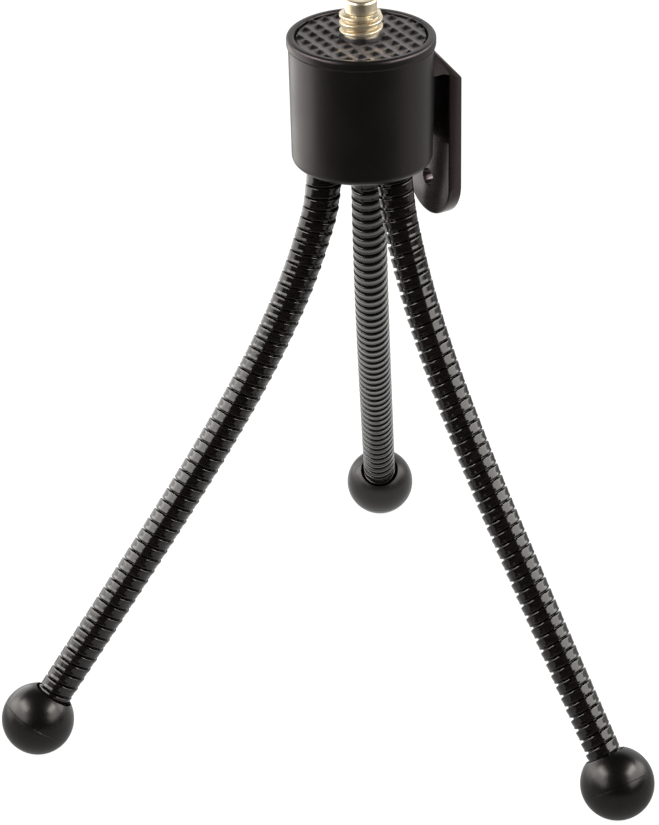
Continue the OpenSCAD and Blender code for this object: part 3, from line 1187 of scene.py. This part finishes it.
    def wind(self, name: str, first: float, last: float) -> bpy.types.Object:
        """Winds a length of strip.

        Args:
            name: Name of the piece.
            first: Turn at which the strip's upper edge starts.
            last: Turn at which it ends.

        Returns:
            The wound strip, closed at both ends, with its length and its section laid out as a map.
        """
        share, outer, inner = np.array(self.SECTION).T
        count = max(2, math.ceil((last - first) * self.sides))
        turns = np.linspace(first, last, count + 1)
        angle = FULL_TURN * (turns[:, None] - self.PHASE[self.name])
        inside = 0.5 + 0.5 * np.sin(angle)
        gap = self.gap + (self.open_gap - self.gap) * inside
        depth = (outer + (inner - outer) * inside) * self.groove
        floor = self.ledge_depth + (self.groove - self.ledge_depth) * inside
        core = np.full((count + 1, 2), self.strip)
        edge = np.full((count + 1, 2), self.ledge_gap / 2)
        share = np.concatenate([gap / 2 + share * (1 - gap), 1 - gap / 2, 1 - edge, edge, gap / 2], 1)
        r = self.radius - np.concatenate([depth, floor, floor, core, floor, floor], 1)
        point, across, inward = self.at((turns[:, None] + share - 0.5) * self.pitch)
        angle = angle[..., None]
        vertices = point + r[..., None] * (np.cos(angle) * across + np.sin(angle) * inward)
        m = share.shape[1]
        faces = [
            (k * m + j, k * m + (j + 1) % m, (k + 1) * m + (j + 1) % m, (k + 1) * m + j)
            for k in range(count)
            for j in range(m)
        ]
        caps = [tuple(range(m)), tuple(range(count * m, (count + 1) * m))]
        piece = new_piece(name, vertices.reshape(-1, 3), [*faces, *caps])
        around = np.concatenate([[0], np.cumsum(np.hypot(np.diff(share[0]) * self.pitch, np.diff(r[0])))])
        layer = piece.data.uv_layers.new(name=LEG_STEEL.uv_name)
        corner = np.zeros(len(piece.data.loops), int)
        piece.data.loops.foreach_get("vertex_index", corner)
        u = turns[corner // m] * FULL_TURN * self.radius
        layer.data.foreach_set("uv", np.stack([u, around[corner % m]], 1).ravel())
        return piece


@dataclass
class BallFoot:
    """The moulded ball on a leg's end, with a sharp-lipped mouth round the leg and a parting line."""

    leg: Gooseneck
    mouth_r: float = 3.05
    lip: float = 0.1
    mouth_depth: float = 2.0
    bore_r: float = 2.7
    bore_depth: float = 3.0
    seam: float = 0.1
    seam_depth: float = 0.05
    seam_h: float = -0.15
    pole_deg: float = -87.0
    sides: int = 96

    def build(self) -> bpy.types.Object:
        """Builds the ball.

        Returns:
            The dressed ball.
        """
        centre = self.leg.ball
        up = (Vector(self.leg.knots[-2]) - centre).normalized()
        name = self.leg.name.value
        ball = turned(f"{name}_foot_ball", self.profile(self.leg.ball_r), self.sides)
        place = Matrix.Translation(centre) @ up.to_track_quat("Z", "Y").to_matrix().to_4x4()
        body = self.leg.hinges[-1]["child"]
        return finish_piece(ball, BALL_ABS, [f"{name}_ball_foot"], body, place=place)

    def profile(self, radius: float) -> Outline:
        """Draws half of the ball's section.

        Args:
            radius: Radius of the ball.

        Returns:
            Radius and height of each point, from the bottom of the bore to the bottom of the ball.
        """
        lip_r = self.mouth_r + self.lip
        top = math.sqrt(radius**2 - lip_r**2)
        floor = top - self.mouth_depth
        start = math.degrees(math.atan2(top, lip_r))
        seam_deg = math.degrees(self.seam_h / radius)
        half_deg = math.degrees(self.seam / 2 / radius)
        groove = radius - self.seam_depth
        return [
            (0, floor - self.bore_depth),
            (self.bore_r, floor - self.bore_depth),
            (self.bore_r, floor),
            (self.mouth_r, floor),
            (self.mouth_r, top - self.lip),
            (self.mouth_r + self.lip / 3, top - self.lip / 4),
            *arc((0, 0), radius, start, seam_deg + half_deg, steps=24),
            (groove * math.cos(math.radians(seam_deg)), groove * math.sin(math.radians(seam_deg))),
            *arc((0, 0), radius, seam_deg - half_deg, self.pole_deg, steps=30),
            (0, -radius),
        ]


# The studio


def heading(azimuth_deg: float, elevation_deg: float) -> Vector:
    """Gives the direction at an azimuth, which counts from the front, and an elevation."""
    a, e = math.radians(azimuth_deg), math.radians(elevation_deg)
    return Vector((math.sin(a) * math.cos(e), -math.cos(a) * math.cos(e), math.sin(e)))


@dataclass
class StudioCamera:
    """The camera at the photograph's viewpoint, aimed so that the camera seat lands on its pixel."""

    focal_px: float = 3787.454
    azimuth_deg: float = -22.084
    elevation_deg: float = 21.874
    roll_deg: float = -0.544
    distance_mm: float = 554.04
    seat_px: Point2 = (364.87, 33.72)
    clip: Span = (0.01, 20.0)

    def toward(self) -> Vector:
        """Gives the level direction from the object to the camera."""
        return heading(self.azimuth_deg, 0)

    def build(self) -> bpy.types.Object:
        """Sets the camera up.

        Returns:
            The scene's camera.
        """
        back = heading(self.azimuth_deg, self.elevation_deg)
        right = heading(self.azimuth_deg + 90, 0)
        up = back.cross(right)
        shift_x = (self.seat_px[0] - IMAGE_W / 2) / self.focal_px
        shift_y = (IMAGE_H / 2 - self.seat_px[1]) / self.focal_px
        ahead = (-back - shift_x * right - shift_y * up).normalized()
        level = (right - right.dot(ahead) * ahead).normalized()
        upright = (-ahead).cross(level)
        roll = Matrix.Rotation(math.radians(self.roll_deg), 3, "Z")
        turn = Matrix((level, upright, -ahead)).transposed() @ roll
        data = bpy.data.cameras.new("studio_camera")
        data.sensor_width = SENSOR_MM
        data.lens = self.focal_px * SENSOR_MM / max(IMAGE_W, IMAGE_H)
        data.clip_start, data.clip_end = self.clip
        camera = bpy.data.objects.new("studio_camera", data)
        camera.matrix_world = Matrix.Translation(back * self.distance_mm * MM) @ turn.to_4x4()
        bpy.context.scene.collection.objects.link(camera)
        bpy.context.scene.camera = camera
        return camera


@dataclass(frozen=True)
class Softbox:
    """A soft lamp, placed round the object as seen in the picture, in degrees and metres."""

    name: str
    side_deg: float
    height_deg: float
    distance: float
    width: float
    height: float
    power: float
    colour: str = "#fffcf8"

    def build(self, camera: StudioCamera, aim: Vector) -> bpy.types.Object:
        """Sets the lamp up.

        Args:
            camera: The camera, from whose side of the object the angles count.
            aim: Point that the lamp faces.

        Returns:
            The lamp.
        """
        way = heading(camera.azimuth_deg + self.side_deg, self.height_deg)
        data = bpy.data.lights.new(self.name, "AREA")
        data.shape = "RECTANGLE"
        data.size, data.size_y = self.width, self.height
        data.energy = self.power
        data.color = linear(self.colour)[:3]
        lamp = bpy.data.objects.new(self.name, data)
        lamp.location = aim + way * self.distance
        lamp.rotation_mode = "QUATERNION"
        lamp.rotation_quaternion = way.to_track_quat("Z", "Y")
        lamp.visible_camera = False
        bpy.context.scene.collection.objects.link(lamp)
        return lamp


@dataclass
class Studio:
    """A white table that ends short of the camera, a white backdrop, a dark room and soft lamps beside it."""

    camera: StudioCamera
    floor_r: float = 3.0
    floor_front: float = 0.09
    floor_sides: int = 96
    floor_colour: str = "#f2f1f0"
    floor_shade: str = "#6a6a6a"
    floor_glow: float = 0.94
    # Painted pool of light on the floor, seen only in shiny surfaces: a round glow behind the tripod
    spot_back: float = 0.07
    spot_r: Span = (0.05, 0.13)
    spot_glow: Span = (0.85, 0.22)
    room: str = "#0c0c0c"
    backdrop: str = "#ffffff"
    backdrop_edge: Span = (-0.15, 0.35)
    backdrop_top: Span = (0.75, 0.45)
    lamps: tuple[Softbox, ...] = (
        Softbox("window_left", -79, 22, 0.42, 0.70, 0.19, 1.85),
        Softbox("softbox_left", -76, 42, 0.42, 0.3, 0.1, 1.3),
        Softbox("window_right", 81, 22, 0.42, 0.70, 0.19, 1.85),
        Softbox("softbox_right", 74, 42, 0.42, 0.3, 0.1, 1.3),
        Softbox("strip_left_back", -116, 0, 0.15, 0.22, 0.11, 0.13),
    )

    def build(self, floor_z: float) -> None:
        """Sets the floor, the world and the lamps up.

        Args:
            floor_z: Level of the floor, in metres.
        """
        view = bpy.context.scene.view_settings
        view.view_transform = "Standard"
        floor = turned("floor", [(0, 0), (self.floor_r / MM, 0)], self.floor_sides)
        middle = self.camera.toward() * (self.floor_front - self.floor_r)
        middle.z = floor_z
        floor.data.transform(Matrix.Translation(middle) @ Matrix.Scale(MM, 4))
        floor.data.materials.append(self.floor_material(floor_z))
        floor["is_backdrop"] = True
        self.build_world()
        for lamp in self.lamps:
            lamp.build(self.camera, Vector((0, 0, floor_z / 2)))

    def seen(self, tree: bpy.types.NodeTree) -> bpy.types.NodeSocket:
        """Tells apart what the camera sees, straight or in a shiny or clear surface, from what only lights.

        Args:
            tree: Tree that takes the nodes.

        Returns:
            One for a seen ray, zero for any other.
        """
        path = add_node(tree, "LightPath").outputs
        seen = path["Is Camera Ray"]
        for ray in ("Is Glossy Ray", "Is Transmission Ray"):
            seen = add_node(tree, "Math", {0: seen, 1: path[ray]}, operation="MAXIMUM").outputs[0]
        return seen

    def floor_material(self, floor_z: float) -> bpy.types.Material:
        """Makes the floor: matt white card that keeps the shadow, lifted to white where it is seen.

        Shiny surfaces see it dim, but for a painted pool of light, a brighter round glow behind the tripod.

        Args:
            floor_z: Level of the floor, in metres.

        Returns:
            The floor's material.
        """
        material, tree = empty_material("white_card")
        card = add_node(tree, "BsdfDiffuse", {"Color": linear(self.floor_colour)})
        faint = add_node(tree, "BsdfDiffuse", {"Color": linear(self.floor_shade)})
        # Painted pool of light: shiny surfaces see a stronger glow near this spot
        spot = -self.camera.toward() * self.spot_back
        spot.z = floor_z
        place = add_node(tree, "NewGeometry").outputs["Position"]
        away = add_node(tree, "VectorMath", {0: place, 1: tuple(spot)}, operation="DISTANCE")
        fade = {
            "Value": away.outputs["Value"],
            "From Min": self.spot_r[0],
            "From Max": self.spot_r[1],
            "To Min": self.spot_glow[0],
            "To Max": self.spot_glow[1],
        }
        mirrored = add_node(tree, "MapRange", fade, interpolation_type="SMOOTHSTEP").outputs["Result"]
        straight = add_node(tree, "LightPath").outputs["Is Camera Ray"]
        choice = {"Value": straight, "To Min": mirrored, "To Max": self.floor_glow}
        strength = add_node(tree, "MapRange", choice).outputs["Result"]
        glow = add_node(tree, "Emission", {"Color": linear(self.backdrop), "Strength": strength})
        lifted = add_node(tree, "AddShader", {0: faint.outputs[0], 1: glow.outputs[0]})
        mixed = add_node(tree, "MixShader", {0: self.seen(tree), 1: card.outputs[0], 2: lifted.outputs[0]})
        add_node(tree, "OutputMaterial", {"Surface": mixed.outputs[0]})
        return material

    def build_world(self) -> None:
        """Makes the world: a white backdrop behind the object and a dim room on the camera's side."""
        world = bpy.data.worlds.new("studio")
        bpy.context.scene.world = world
        world.use_nodes = True
        tree = world.node_tree
        tree.nodes.clear()
        way = add_node(tree, "TexCoord").outputs["Generated"]
        behind = tuple(-self.camera.toward())
        facing = add_node(tree, "VectorMath", {0: way, 1: behind}, operation="DOT_PRODUCT").outputs["Value"]
        height = add_node(tree, "SeparateXYZ", {0: way}).outputs["Z"]
        share, low = (
            add_node(
                tree,
                "MapRange",
                {"Value": value, "From Min": start, "From Max": stop},
                interpolation_type="SMOOTHSTEP",
            )
            for value, (start, stop) in ((facing, self.backdrop_edge), (height, self.backdrop_top))
        )
        both = add_node(tree, "Math", {0: share.outputs[0], 1: low.outputs[0]}, operation="MULTIPLY")
        ends = {0: both.outputs[0], 6: linear(self.room), 7: linear(self.backdrop)}
        colour = add_node(tree, "Mix", ends, data_type="RGBA").outputs[2]
        room = add_node(tree, "Background", {"Color": colour, "Strength": 1.0})
        white = add_node(tree, "Background", {"Color": linear(self.backdrop), "Strength": 1.0})
        straight = add_node(tree, "LightPath").outputs["Is Camera Ray"]
        mixed = add_node(tree, "MixShader", {0: straight, 1: room.outputs[0], 2: white.outputs[0]})
        add_node(tree, "OutputWorld", {"Surface": mixed.outputs[0]})


def dress_hidden_parts() -> None:
    """Gives the CAD nodes that stay inside the head their finishes."""
    steel = PLAIN_STEEL.material()
    plain = {"deck_plate": DECK_ABS.material(), "deck_screws": steel, "clamp_plate": steel}
    plain.update({f"{leg.value}_leg_ferrule": steel for leg in LegName})
    for node, material in plain.items():
        slots = FRAME["nodes"][node].data.materials
        slots.clear()
        slots.append(material)


def main() -> None:
    """Builds the studio and every piece of the tripod."""
    logging.basicConfig(level=logging.INFO, format="%(name)s: %(message)s")
    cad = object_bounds()
    mounts = {mount["name"]: mount for mount in FRAME["record"]["mounts"]}
    camera = StudioCamera()
    camera.build()
    Studio(camera).build(cad[0].z)
    legs = [Gooseneck(name) for name in LegName]
    for leg in legs:
        leg.build()
        BallFoot(leg).build()
    roots = [(leg.root, (Vector(leg.knots[1]) - leg.root).normalized()) for leg in legs]
    stud_r = mounts["camera_stud"]["dims"]["r_mm"]
    HeadShell().build(roots)
    GripPad().build(stud_r)
    CameraStud().build(stud_r)
    PocketClip().build(mounts["lanyard_hole"])
    dress_hidden_parts()


if __name__ == "__main__":
    main()
